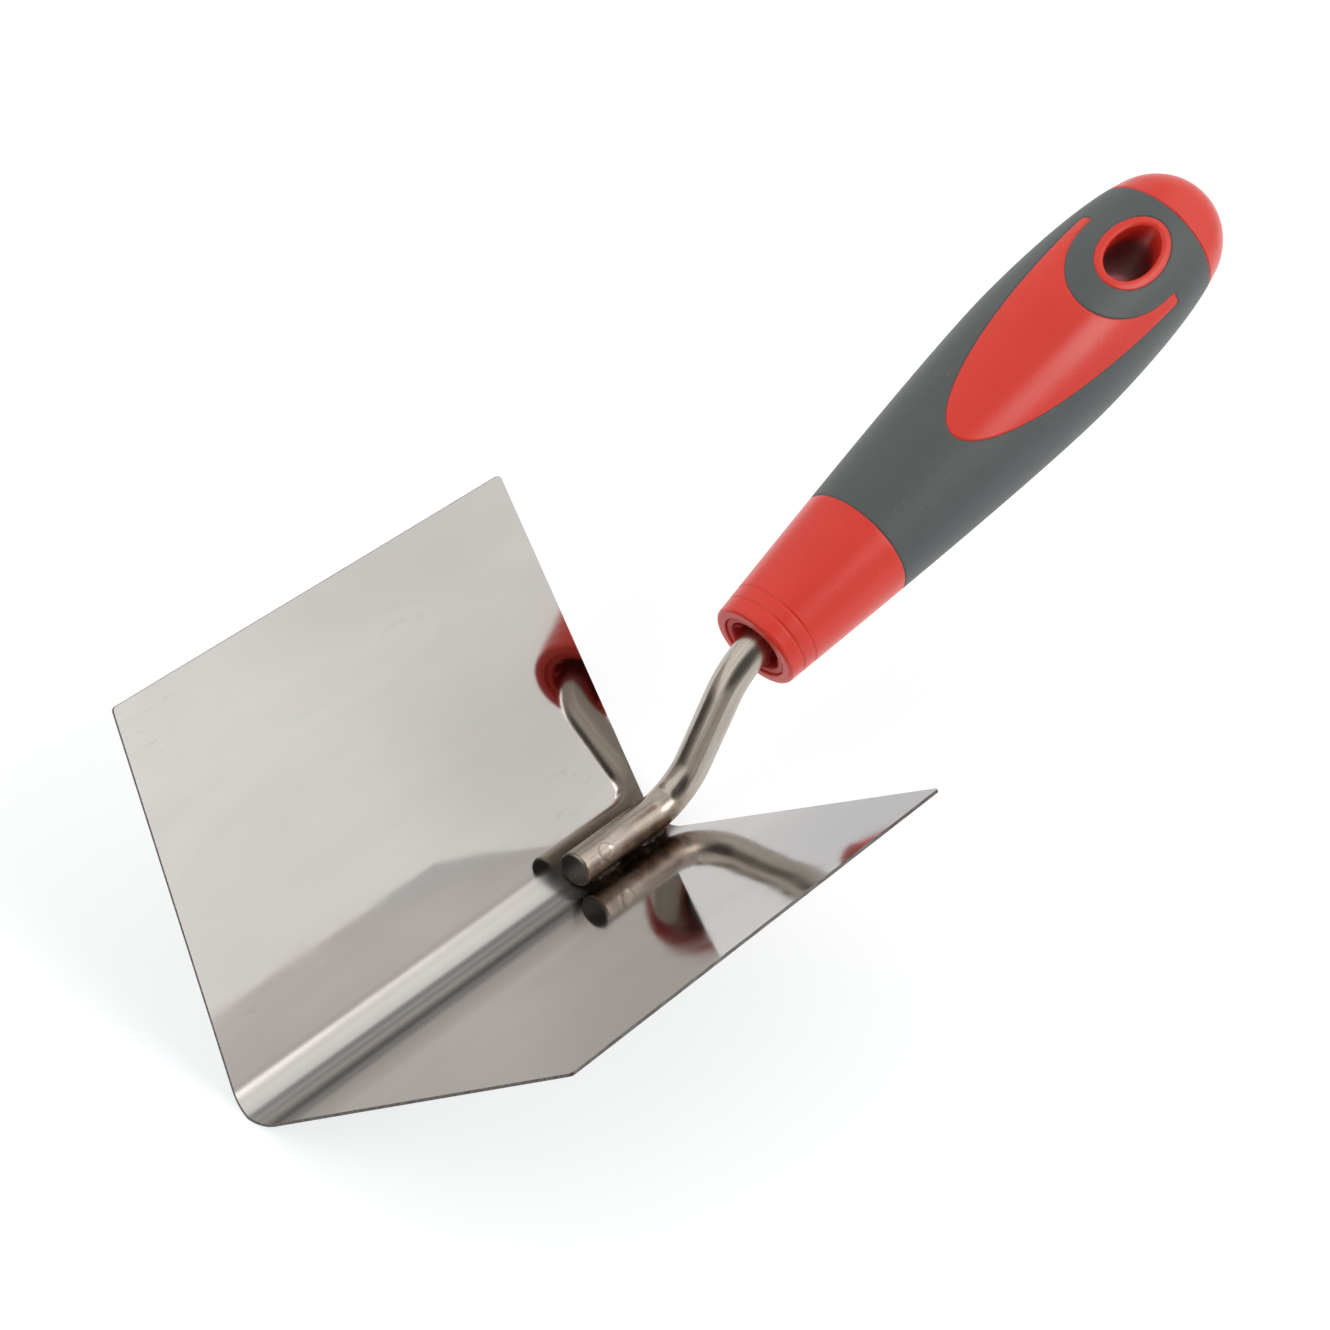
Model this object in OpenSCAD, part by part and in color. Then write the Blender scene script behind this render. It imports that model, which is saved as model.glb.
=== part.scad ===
// Inside corner trowel: a folded steel blade, a bent tang welded into its valley and a two-colour handle.
// +X runs forward along the ridge of the blade, and +Z halves the angle between the wings.
// The origin is the middle of the ridge, on the outside of the bend.

/* [Blade] */
// Length of the ridge
ridge_len = 110; // [90:1:130]
// Width of each wing, from the sharp corner that the outer faces point at
wing_w = 75.4; // [60:0.1:90]
// Angle between the two wings
wing_angle = 90.7; // [88:0.1:96]
// Thickness of the steel sheet
sheet_t = 0.6; // [0.5:0.1:1.2]
// Outer radius of the bend along the ridge
bend_r = 7.5; // [6.5:0.1:9]
// How far the front outer corners stand back from the front of the ridge
front_setback = 13.9; // [0:0.1:20]
// How far the rear outer corners reach behind the rear of the ridge
rear_reach = 2.0; // [0:0.1:5]
// Radius of the outer corners
corner_r = 0.9; // [0.5:0.1:4]

/* [Tang] */
// Diameter of the steel rod
rod_d = 7; // [6:0.1:7.6]
// Length of the foot, from the rod's tip to the corner that the heel rounds off
foot_len = 29.9; // [26:0.1:40]
// How far the heel's corner stands behind the rear of the ridge
heel_reach = 4.2; // [2:0.1:8]
// Slope of the rise between the heel and the neck
rise_angle = 71.7; // [65:0.1:80]
// Height of the neck's corner above the ridge
neck_z = 33.3; // [31:0.1:36]
// Radius of the heel, on the rod's centreline
heel_r = 12; // [10:0.5:16]
// Radius of the neck, on the rod's centreline
neck_r = 15; // [10:0.5:16]
// Depth that the rod reaches into the handle
tang_depth = 82; // [60:1:85]

/* [Welds] */
// Length of each weld bead along the rod
weld_len = 9; // [5:0.5:12]
// Distance from the rod's tip to the middle of the front beads
weld_inset = 7; // [6:0.5:9]

/* [Handle] */
// Slope of the handle above the ridge
handle_pitch = 20.4; // [15:0.1:25]
// Distance along the handle's axis from the neck's corner to the front face
nose_gap = 4.8; // [4:0.1:6]
// Turn of the inlay and the hang hole about the handle's own axis
handle_turn = 18; // [-30:1:30]
// Length of the handle
handle_len = 136.5; // [134:0.5:145]
// Greatest diameter of the handle
belly_d = 33.1; // [32:0.1:36]
// Diameter of the handle at its front face
nose_d = 18.9; // [18.6:0.1:21]
// Length of the hard ferrule in front of the soft grip
ferrule_len = 30; // [28:0.1:38]
// Length of the hard butt behind the soft grip
butt_len = 14.1; // [12:0.1:15]
// Thickness of the soft grip
grip_t = 2; // [1.5:0.1:2.5]
// Thickness of the hard shell
shell_t = 2.3; // [2:0.1:2.5]

/* [Hang hole] */
// Length of the oval hang hole, along the handle
hole_len = 15.2; // [12:0.1:16]
// Width of the oval hang hole
hole_w = 9.3; // [8:0.1:10]
// Width of the hard eyelet round the hang hole
eyelet_t = 2.1; // [1.5:0.1:2.4]
// Distance from the middle of the hang hole to the rear end of the handle
hole_inset = 27.8; // [27:0.1:30]

/* [Hidden] */
$fn = 96;
steps = 12;     // straight steps along each curved stretch of the handle's outline
clear = 60;     // a length that runs past the handle or the blade on every side
eps = 0.5;      // how far a cut runs past the face that it opens

// Blade
half_angle = wing_angle / 2;
apex_z = bend_r - bend_r / sin(half_angle);   // height of the sharp corner that the outer faces point at
bend_steps = 16;                              // straight steps along each half of the bend

// Tang: three straight stretches, joined by the heel and the neck
rod_r = rod_d / 2;
foot_gap = 0.02;                              // the welds hold the foot this far off the sheet
foot_z = sheet_t + rod_r + foot_gap;
heel_x = -ridge_len / 2 - heel_reach;
tip_x = heel_x + foot_len;
neck_x = heel_x - (neck_z - foot_z) / tan(rise_angle);
neck_turn = rise_angle - handle_pitch;
heel_cut = heel_r * tan(rise_angle / 2);      // what each bend takes off the stretches that it joins
neck_cut = neck_r * tan(neck_turn / 2);
rise_len = norm([neck_x - heel_x, neck_z - foot_z]);
tip_chamfer = 0.5;
barb_count = 3;                               // rings round the rod that the core is moulded into
barb_pitch = 12;
barb_deep = 0.6;

// Welds
weld_low = 1.1;                               // nearest edge of a bead from the middle of the valley
weld_wide = 3.9;                              // farthest edge
weld_high = 2.6;
weld_rear_x = -ridge_len / 2 + weld_len / 2 + 0.5;

// Handle: lengths run back from its front face
nose_x = neck_x - nose_gap * cos(handle_pitch);
nose_z = neck_z + nose_gap * sin(handle_pitch);
nose_r = nose_d / 2;
nose_round = 0.8;
belly_r = belly_d / 2;
belly_at = 0.65 * handle_len;
shoulder_r = 0.802 * belly_r;
shoulder_at = 0.92 * handle_len;
grip_end = handle_len - butt_len;
groove_at = [3.4, 6.4];                       // two fine rings round the ferrule
groove_r = 0.4;
mouth_r = 5.8;                                // open mouth round the rod
mouth_deep = 9;
rib_count = 10;                               // short ribs round the inside of the mouth
rib_t = 0.9;
rib_high = 1;
core_r = nose_r - shell_t;
core_recess = 0.4;                            // the core's nose stands back behind the shell
core_waist = 24;                              // where the core starts to widen with the handle
core_end = tang_depth + 8;                    // the rear of the handle is hard right through

// Inlay: a long drop with a crescent bitten out of its rear end, round the hang hole
hole_at = handle_len - hole_inset;
drop_at = hole_at - 1.7;
drop_half = [53.3, 12.8];
bite_half = [16.9, 11];
horn_end = hole_at + 2;

function bezier(p, n) = [for (i = [0 : n]) let (t = i / n, s = 1 - t)
    s * s * s * p[0] + 3 * s * s * t * p[1] + 3 * s * t * t * p[2] + t * t * t * p[3]];
function oval(half_axes, n) = [for (i = [0 : n - 1]) let (a = 360 * i / n)
    [half_axes[0] * cos(a), half_axes[1] * sin(a)]];
function arc(centre, r, from, to, n) = [for (i = [0 : n]) let (a = from + (to - from) * i / n)
    centre + r * [cos(a), sin(a)]];

// Half outlines of the handle as [radius, distance from the front face]
swell = bezier([[nose_r, nose_round], [nose_r + 0.1, 2.3], [belly_r, 0.5 * handle_len],
    [belly_r, belly_at]], steps);
taper = bezier([[belly_r, belly_at], [belly_r, 0.684 * handle_len], [belly_r, 0.835 * handle_len],
    [shoulder_r, shoulder_at]], steps);
dome = bezier([[shoulder_r, shoulder_at], [0.91 * shoulder_r, 0.96 * handle_len],
    [0.55 * shoulder_r, handle_len], [0, handle_len]], steps);
nose = arc([nose_r - nose_round, nose_round], nose_round, -90, 0, 6);

function between(list, first, last) = [for (i = [first : last]) list[i]];

// The whole handle as one solid
module handle_solid() {
    rotate_extrude()
        polygon(concat([[0, 0]], nose, between(swell, 1, steps), between(taper, 1, steps),
            between(dome, 1, steps)));
}

// The handle from its front face to its shoulder, smaller all round by inset
module handle_inset(inset) {
    body = concat(swell, between(taper, 1, steps));
    rotate_extrude()
        polygon(concat([[0, nose_round]], [for (p = body) [p[0] - inset, p[1]]], [[0, shoulder_at]]));
}

// A stretch of everything round the handle's axis
module stretch(from, to) {
    translate([0, 0, from])
        cylinder(r = clear, h = to - from);
}

module on_handle() {
    translate([nose_x, 0, nose_z])
        rotate([0, handle_pitch - 90, 0])
            children();
}

// Runs a flat outline right through the handle: its x lies along the handle
module through_handle() {
    rotate([0, 0, handle_turn])
        rotate([0, -90, 0])
            linear_extrude(height = 2 * clear, center = true)
                children();
}

module eyelet_outline(grow) {
    translate([hole_at, 0])
        polygon(oval([hole_len / 2 + grow, hole_w / 2 + grow], 60));
}

module inlay_outline() {
    difference() {
        translate([drop_at, 0])
            polygon(oval(drop_half, 72));
        translate([hole_at, 0])
            polygon(oval(bite_half, 60));
        translate([horn_end, -clear / 2])
            square([clear, clear]);
    }
}

// Cross-section of one wing and its half of the bend, with x across the blade and y up
module wing_section() {
    out = [sin(half_angle), cos(half_angle)];
    inward = [-cos(half_angle), sin(half_angle)];
    edge = [0, apex_z] + wing_w * out;
    polygon(concat(arc([0, bend_r], bend_r, -90, -half_angle, bend_steps), [edge, edge + sheet_t * inward],
        arc([0, bend_r], bend_r - sheet_t, -half_angle, -90, bend_steps)));
}

// The hollow of one half of the bend
module valley_section() {
    polygon(concat([[0, bend_r]], arc([0, bend_r], bend_r - sheet_t, -90, -half_angle, bend_steps)));
}

// Outline of a wing laid flat, with x along the ridge and y out from it
module wing_outline() {
    front = ridge_len / 2 - front_setback;
    rear = -ridge_len / 2 - rear_reach;
    polygon(concat([[-ridge_len / 2, 0], [ridge_len / 2, 0]],
        arc([front - corner_r, wing_w - corner_r], corner_r, 10, 90, 6),
        arc([rear + corner_r, wing_w - corner_r], corner_r, 90, 180, 6)));
}

module wing() {
    intersection() {
        translate([-clear, 0, 0])
            rotate([90, 0, 90])
                linear_extrude(height = 2 * clear)
                    wing_section();
        translate([0, 0, apex_z])
            rotate([90 - half_angle, 0, 0])
                translate([0, 0, -bend_r])
                    linear_extrude(height = 3 * bend_r)
                        wing_outline();
    }
}

module blade() {
    color("silver") {
        wing();
        mirror([0, 1, 0])
            wing();
    }
}

// A hair-thin collar that makes the two stretches that meet in it one solid
module collar() {
    cylinder(r = rod_r + 0.01, h = 0.1, center = true);
}

// The last stretch of rod along +Z, with a chamfered end
module end_stretch(len) {
    rotate_extrude()
        polygon([[0, 0], [rod_r, 0], [rod_r, len - tip_chamfer], [rod_r - tip_chamfer, len], [0, len]]);
}

// A straight stretch of rod along +Z, with what follows at its end
module straight(len) {
    cylinder(r = rod_r, h = len);
    translate([0, 0, len])
        children();
}

// A bend of the rod from +Z towards +X, with what follows at its end
module elbow(radius, turn) {
    collar();
    translate([radius, 0, 0]) {
        rotate([90, 0, 180])
            rotate_extrude(angle = turn)
                translate([radius, 0])
                    circle(r = rod_r);
        rotate([0, turn, 0])
            translate([-radius, 0, 0]) {
                collar();
                children();
            }
    }
}

module bare_rod() {
    translate([heel_x + heel_cut, 0, foot_z])
        rotate([0, -90, 0]) {
            mirror([0, 0, 1])
                end_stretch(foot_len - heel_cut);
            elbow(heel_r, rise_angle)
                straight(rise_len - heel_cut - neck_cut)
                    rotate([0, 0, 180])
                        elbow(neck_r, neck_turn)
                            end_stretch(nose_gap + tang_depth - neck_cut);
        }
}

module tang() {
    color("lightgray")
        difference() {
            bare_rod();
            on_handle()
                for (i = [1 : barb_count])
                    translate([0, 0, tang_depth - i * barb_pitch])
                        rotate_extrude()
                            translate([rod_r, 0])
                                circle(r = barb_deep, $fn = 24);
        }
}

// A pair of beads, one on each side of the rod, that fill the gap between it and the valley
module weld_pair(middle_x) {
    translate([middle_x - weld_len / 2, 0, 0])
        rotate([90, 0, 90])
            linear_extrude(height = weld_len)
                for (side = [0, 1])
                    mirror([side, 0])
                        difference() {
                            intersection() {
                                valley_section();
                                translate([weld_low, 0])
                                    square([weld_wide - weld_low, weld_high]);
                            }
                            translate([0, foot_z])
                                circle(r = rod_r);
                        }
}

module weld_front() {
    color("dimgray")
        weld_pair(tip_x - weld_inset);
}

module weld_rear() {
    color("dimgray")
        weld_pair(weld_rear_x);
}

// The core without the rod's hole and the open mouth
module core_solid() {
    translate([0, 0, core_recess])
        cylinder(r = core_r, h = core_waist + eps);
    intersection() {
        handle_inset(grip_t + shell_t);
        stretch(core_waist, core_end);
    }
}

module rib(turn) {
    rotate([0, 0, turn])
        translate([mouth_r - rib_high, -rib_t / 2, 2 * core_recess])
            cube([rib_high + eps, rib_t, mouth_deep]);
}

module handle_core() {
    color("firebrick")
        difference() {
            on_handle()
                difference() {
                    core_solid();
                    difference() {
                        cylinder(r = mouth_r, h = mouth_deep);
                        for (i = [0 : rib_count - 1])
                            rib(360 * i / rib_count);
                    }
                }
            tang();
        }
}

// The grip without its colour; its outer face moves out by extra
module grip_solid(extra) {
    difference() {
        intersection() {
            handle_inset(-extra);
            stretch(ferrule_len, grip_end);
        }
        handle_inset(grip_t);
        through_handle()
            inlay_outline();
        through_handle()
            eyelet_outline(eyelet_t);
    }
}

module ring_groove(at) {
    rotate_extrude()
        translate([lookup(at, [for (p = swell) [p[1], p[0]]]), at])
            circle(r = groove_r, $fn = 24);
}

module handle_shell() {
    color("crimson")
        on_handle()
            difference() {
                handle_solid();
                grip_solid(eps);
                core_solid();
                translate([0, 0, -eps])
                    cylinder(r = core_r, h = core_recess + eps);
                through_handle()
                    eyelet_outline(0);
                for (at = groove_at)
                    ring_groove(at);
            }
}

module soft_grip() {
    color("dimgray")
        on_handle()
            grip_solid(0);
}

blade();
tang();
weld_front();
weld_rear();
handle_core();
handle_shell();
soft_grip();
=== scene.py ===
"""Inside corner trowel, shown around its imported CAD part.

Lengths in the shape code are millimetres, in the part's own frame: the origin is the middle of the blade's
ridge on the outside of the bend, +X runs forward along the ridge and +Z halves the angle between the wings.
"""

import math

import bmesh
import bpy
from mathutils import Matrix, Vector, noise


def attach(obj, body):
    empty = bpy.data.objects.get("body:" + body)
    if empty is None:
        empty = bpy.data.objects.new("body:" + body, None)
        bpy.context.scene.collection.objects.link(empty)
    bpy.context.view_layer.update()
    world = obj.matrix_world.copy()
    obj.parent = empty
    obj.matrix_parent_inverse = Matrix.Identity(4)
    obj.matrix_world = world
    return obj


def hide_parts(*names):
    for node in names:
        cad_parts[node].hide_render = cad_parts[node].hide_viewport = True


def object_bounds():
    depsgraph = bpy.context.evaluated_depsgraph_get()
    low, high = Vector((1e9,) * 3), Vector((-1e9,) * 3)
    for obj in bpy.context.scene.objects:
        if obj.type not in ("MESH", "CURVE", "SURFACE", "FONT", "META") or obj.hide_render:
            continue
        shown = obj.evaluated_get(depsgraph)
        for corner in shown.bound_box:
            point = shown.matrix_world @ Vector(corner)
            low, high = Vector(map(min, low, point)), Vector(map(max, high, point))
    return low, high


MM = 0.001

# Blade. FRONT_LEAN is the angle at which the slanting front edge runs into the rounded corner.
RIDGE_LEN = 110.0
WING_W = 75.4
HALF = math.radians(90.7 / 2)
SHEET_T = 0.6
BEND_R = 7.5
BEND_LEN = BEND_R * (math.pi / 2 - HALF)
FRONT_SETBACK = 13.9
FRONT_LEAN = math.radians(10)
REAR_REACH = 2.0
CORNER_R = 0.9
APEX_Z = BEND_R - BEND_R / math.sin(HALF)
EDGE_ROUND = 0.1

# The wings' faint waves, which start this far out from the bend
WAVE_HIGH = 0.05
WAVE_LONG = 38.0
WAVE_FROM = 14
WAVE_SEED = 7.3

# The blade's mesh: steps round the bend and over the flat, closer rows near the outer edge, steps along
BEND_STEPS = 16
FLAT_STEPS = 34
EDGE_BAND = 1.2
EDGE_ROWS = (0.3, 0.55, 0.75, 0.9, 1.02, 1.12, 1.17, 1.2)
LONG_STEPS = 60

# Tang
ROD_R = 3.5
FOOT_LEN = 29.9
FOOT_Z = SHEET_T + ROD_R + 0.02
HEEL_X = -RIDGE_LEN / 2 - 4.2
TIP_X = HEEL_X + FOOT_LEN
RISE = math.radians(71.7)
NECK_Z = 33.3
NECK_X = HEEL_X - (NECK_Z - FOOT_Z) / math.tan(RISE)
HEEL_R = 12.0
NECK_R = 15.0
TANG_DEPTH = 82.0
BARBS = 3
BARB_PITCH = 12
BARB_DEEP = 0.5
BARB_HALF = 0.5

# The rod's tip as (taken off the radius, distance back), from its slightly hollow end to its full radius
TIP_ROUND = 0.5
TIP_HOLLOW = 0.06
TIP_RINGS = ((1.6, TIP_HOLLOW), (TIP_ROUND + 0.4, 0.02), (TIP_ROUND, 0.0), (TIP_ROUND * 0.62, 0.03),
             (TIP_ROUND * 0.29, 0.14), (TIP_ROUND * 0.08, 0.3), (0.0, TIP_ROUND))

# The round electrode mark on the foot: distance back from the tip, angle from the top and place, then the
# radii its wall falls between, its depth, how ragged it is, and its lip as (radius, width) and height
MARK_BACK = 6.2
MARK_ANGLE = math.radians(37)
MARK_AT = (TIP_X - MARK_BACK, 2.1, FOOT_Z + 2.8)
MARK_WALL = (1.3, 1.8)
MARK_DEEP = 0.08
MARK_RAGGED = 0.35
MARK_LIP = (1.95, 0.25)
MARK_LIP_HIGH = 0.02

# The inside of the heel as (angle from the top, width), its creases as (distance back from the tip, width,
# depth), and the rod's unevenness
HEEL_INSIDE = (-0.2, 0.6)
CREASES = ((26.9, 0.7, 0.2), (28.8, 1.0, -0.1))
ROD_UNEVEN = 0.015

# The rod's mesh
ROD_AROUND = 96
ROD_BEND_STEPS = 36

# Welds
WELD_LEN = 9.0
WELD_INSET = 7.0
WELD_REAR_GAP = 0.5
WELD_LOW = 1.1
WELD_WIDE = 3.9
WELD_CLEAR = 0.01
WELD_STEPS = 40
WELD_SIDE_STEPS = 8
WELD_FACE_STEPS = 6

# Handle: distances run back from its front face
PITCH = math.radians(20.4)
NOSE_GAP = 4.8
TURN = math.radians(18)
HANDLE_LEN = 136.5
NOSE_R = 9.45
NOSE_ROUND = 0.8
BELLY_R = 16.55
BELLY_AT = 0.65 * HANDLE_LEN
SHOULDER_R = 0.802 * BELLY_R
SHOULDER_AT = 0.92 * HANDLE_LEN
GRIP_FROM = 30.0
GRIP_TO = HANDLE_LEN - 14.1
GRIP_T = 2.0
SHELL_T = 2.3
GROOVES = (3.4, 6.4)
GROOVE_DEEP = 0.2
GROOVE_HALF = 0.42

# Core: it stands clear of the shell by CORE_GAP and of the rod by BORE_GAP
CORE_R = NOSE_R - SHELL_T
CORE_FACE_R = CORE_R - 0.17
CORE_RECESS = 0.4
CORE_WAIST = 24.0
CORE_END = TANG_DEPTH + 8
CORE_GAP = 0.02
CORE_CHAMFER = 0.15
BORE_GAP = 0.06
BORE_END = TANG_DEPTH + 0.05
MOUTH_R = 5.8
MOUTH_DEEP = 9.0
RIBS = 10
RIB_HIGH = 1.0
CORE_AROUND = 240

# Hang hole and inlay, with half sizes as (along, across): the inlay is a long drop, out of which the grip
# bites an oval round the eyelet, so that it ends in two horns
HOLE_AT = HANDLE_LEN - 27.8
HOLE_HALF = (7.6, 4.65)
HOLE_DRAFT = 0.04
EYELET_T = 2.1
RIM_ROUND = 0.9
DROP_AT = HOLE_AT - 1.7
DROP_HALF = (53.3, 12.8)
BITE_HALF = (16.9, 11.0)
HORN_END = HOLE_AT + 2.0
HORN_ROUND = 1.0
SEAM_HALF = 0.32
SEAM_DEEP = 0.26

# The skin's mesh: steps round it, where its rows lie closer, levels of the grip field to cut at, how near one
# edges are looked at, halvings to find a cut, the hole's rings, and how near angles round it are the same
SKIN_AROUND = 180
FRONT_RUN = 5
GROOVES_END = 8
DOME_LEN = 12
ROW_STEPS = {"front": 0.16, "grooves": 0.13, "side": 1.5, "dome": 0.9}
SEAM_LEVELS = (0.0, 0.1, -0.1, SEAM_HALF, -SEAM_HALF)
NEAR_SEAM = 4
HALVINGS = 20
RIM_RINGS = 8
HOLE_RINGS = 14
SAME_TURN = 0.002
CAVITY_STEP = 6

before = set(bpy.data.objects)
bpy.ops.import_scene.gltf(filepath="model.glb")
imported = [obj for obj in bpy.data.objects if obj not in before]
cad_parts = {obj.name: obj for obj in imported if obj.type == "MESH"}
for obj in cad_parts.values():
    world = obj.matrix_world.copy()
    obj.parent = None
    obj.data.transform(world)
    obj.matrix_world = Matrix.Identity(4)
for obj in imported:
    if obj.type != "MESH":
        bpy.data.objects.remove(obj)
cad_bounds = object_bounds()


# ---- meshes

def add_piece(name, points, faces, node, material, normals=None, uvs=None):
    """A piece of the object from points in millimetres. normals and uvs are lists of one per face corner."""
    mesh = bpy.data.meshes.new(name)
    mesh.from_pydata([Vector(p) * MM for p in points], [], faces)
    mesh.shade_smooth()
    if normals:
        mesh.normals_split_custom_set([normal for face in normals for normal in face])
    if uvs:
        layer = mesh.uv_layers.new(name="along_and_round")
        layer.data.foreach_set("uv", [number for face in uvs for corner in face for number in corner])
    mesh.materials.append(material)
    piece = bpy.data.objects.new(name, mesh)
    bpy.context.scene.collection.objects.link(piece)
    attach(piece, "root")
    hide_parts(node)
    return piece


def ring_faces(first, second, count):
    """Quads between two closed rings of count points that start at these indices."""
    return [(first + k, first + (k + 1) % count, second + (k + 1) % count, second + k) for k in range(count)]


def bezier(p0, p1, p2, p3, steps):
    """Points of a cubic curve, without its first one."""
    points = []
    for i in range(1, steps + 1):
        t = i / steps
        s = 1 - t
        points.append(tuple(s ** 3 * a + 3 * s * s * t * b + 3 * s * t * t * c + t ** 3 * d
                            for a, b, c, d in zip(p0, p1, p2, p3)))
    return points


def smooth_step(low, high, x):
    """0 under low, 1 over high, smooth between."""
    t = min(1.0, max(0.0, (x - low) / (high - low)))
    return t * t * (3 - 2 * t)


def hump(x, middle, wide):
    """1 at the middle, fading smoothly to either side."""
    return math.exp(-((x - middle) / wide) ** 2)


# ---- blade

def wing_point(along, side, depth):
    """Point (y, z) of the blade's section: along the outer face from the ridge, depth in from that face."""
    angle = min(along, BEND_LEN) / BEND_R
    y = (BEND_R - depth) * math.sin(angle)
    z = BEND_R - (BEND_R - depth) * math.cos(angle)
    past = max(0.0, along - BEND_LEN)
    return side * (y + past * math.sin(HALF)), z + past * math.cos(HALF)


def ridge_reach(out):
    """Rear and front end of the wing at this distance out from the sharp corner of the outer faces."""
    front = RIDGE_LEN / 2 - FRONT_SETBACK
    rear = -RIDGE_LEN / 2 - REAR_REACH
    lean_x = front - CORNER_R * (1 - math.cos(FRONT_LEAN))
    lean_out = WING_W - CORNER_R * (1 - math.sin(FRONT_LEAN))
    x1 = RIDGE_LEN / 2 + (lean_x - RIDGE_LEN / 2) * out / lean_out
    x0 = -RIDGE_LEN / 2 - REAR_REACH * out / (WING_W - CORNER_R)
    into = out - (WING_W - CORNER_R)
    if into > 0:
        drop = math.sqrt(max(0.0, CORNER_R ** 2 - into ** 2))
        x0 = rear + CORNER_R - drop
        if out > lean_out:
            x1 = front - CORNER_R + drop
    return x0, x1


def blade_rows():
    """The sheet's rows as (side, distance from the ridge), from the right wing's edge to the left wing's."""
    edge_from = BEND_LEN + WING_W - BEND_R / math.tan(HALF) - EDGE_BAND
    bend = [BEND_LEN * i / BEND_STEPS for i in range(BEND_STEPS + 1)]
    flat = [BEND_LEN + (edge_from - BEND_LEN) * i / FLAT_STEPS for i in range(1, FLAT_STEPS + 1)]
    half = bend + flat + [edge_from + t for t in EDGE_ROWS]
    return [(-1, a) for a in reversed(half[1:])] + [(1, a) for a in half]


def blade_row(side, along, depth):
    """A row of points on one face of the sheet, from rear to front, with the faint waves."""
    y, z = wing_point(along, side, depth)
    out = abs(y) * math.sin(HALF) + (z - APEX_Z) * math.cos(HALF)
    x0, x1 = ridge_reach(min(out, WING_W))
    calm = smooth_step(BEND_LEN, BEND_LEN + WAVE_FROM, along)
    row = []
    for i in range(LONG_STEPS + 1):
        x = x0 + (x1 - x0) * (i / LONG_STEPS)
        wave = noise.noise(Vector((x / WAVE_LONG, along / WAVE_LONG, WAVE_SEED * side)))
        lift = WAVE_HIGH * calm * wave
        row.append((x, y - side * lift * math.cos(HALF), z + lift * math.sin(HALF)))
    return row


def layer_faces(n, m):
    """Faces of the outer and the inner layer of a sheet, each of n rows by m columns."""
    inner = n * m
    faces = []
    for i in range(n - 1):
        for k in range(m - 1):
            a = i * m + k
            faces.append((a + m, a + m + 1, a + 1, a))
            faces.append((inner + a, inner + a + 1, inner + a + m + 1, inner + a + m))
    return faces


def rim_faces(n, m):
    """Faces of the cut edge all round the same sheet."""
    rim = list(range(m)) + [i * m + m - 1 for i in range(1, n)]
    rim += [(n - 1) * m + k for k in range(m - 2, -1, -1)] + [i * m for i in range(n - 2, 0, -1)]
    inner = n * m
    return [(a, b, inner + b, inner + a) for a, b in zip(rim, rim[1:] + rim[:1])]


def build_blade(material, edge_material):
    """The folded sheet, with its cut edge in a material of its own and its sharp edges broken."""
    rows = blade_rows()
    points = []
    for depth in (0.0, SHEET_T):
        for side, along in rows:
            points += blade_row(side, along, depth)
    rim = rim_faces(len(rows), LONG_STEPS + 1)
    faces = layer_faces(len(rows), LONG_STEPS + 1) + rim
    piece = add_piece("blade_sheet", points, faces, "blade", material)
    piece.data.materials.append(edge_material)
    for face in piece.data.polygons[-len(rim):]:
        face.material_index = 1
    edges = piece.modifiers.new("cut_edges", "BEVEL")
    edges.width = EDGE_ROUND * MM
    edges.segments = 2
    edges.limit_method = "ANGLE"
    edges.angle_limit = math.radians(50)
    edges.harden_normals = True


# ---- tang

def go_straight(stations, length, step):
    """Adds stations on a straight line, about one step apart."""
    steps = max(2, round(length / step))
    for _ in range(steps):
        run, x, z, slope = stations[-1]
        d = length / steps
        stations.append((run + d, x - d * math.cos(slope), z + d * math.sin(slope), slope))


def go_round(stations, angle, radius):
    """Adds stations on an arc that turns the way back upward by this angle."""
    turn = angle / ROD_BEND_STEPS
    for _ in range(ROD_BEND_STEPS):
        run, x, z, slope = stations[-1]
        d = 2 * radius * math.sin(abs(turn) / 2)
        x -= d * math.cos(slope + turn / 2)
        z += d * math.sin(slope + turn / 2)
        stations.append((run + radius * abs(turn), x, z, slope + turn))


def rod_stations():
    """The rod's centreline from its tip into the handle, as (distance, x, z, slope of the way back)."""
    heel_cut = HEEL_R * math.tan(RISE / 2)
    neck_turn = RISE - PITCH
    neck_cut = NECK_R * math.tan(neck_turn / 2)
    rise_len = math.hypot(NECK_X - HEEL_X, NECK_Z - FOOT_Z) - heel_cut - neck_cut
    stations = [(0.0, TIP_X, FOOT_Z, 0.0)]
    go_straight(stations, FOOT_LEN - heel_cut, 0.35)
    go_round(stations, RISE, HEEL_R)
    go_straight(stations, rise_len, 0.8)
    go_round(stations, -neck_turn, NECK_R)
    go_straight(stations, NOSE_GAP + TANG_DEPTH - neck_cut, 1.0)
    return stations


def rod_dent(run, angle):
    """How far the rod's skin is pressed in: the electrode mark with its lip, the creases, the unevenness."""
    mark = math.hypot(run - MARK_BACK, ROD_R * (angle - MARK_ANGLE))
    mark += MARK_RAGGED * noise.noise(Vector((run / 1.3, 3 * angle, 4.0)))
    dent = MARK_DEEP * (1 - smooth_step(*MARK_WALL, mark))
    dent -= MARK_LIP_HIGH * hump(mark, *MARK_LIP)
    inside = hump(angle, *HEEL_INSIDE)
    for at, wide, deep in CREASES:
        dent += deep * inside * hump(run, at, wide)
    rough = noise.noise(Vector((run / 9, 1.2 * math.cos(angle), 1.2 * math.sin(angle))))
    return dent + ROD_UNEVEN * rough


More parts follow.
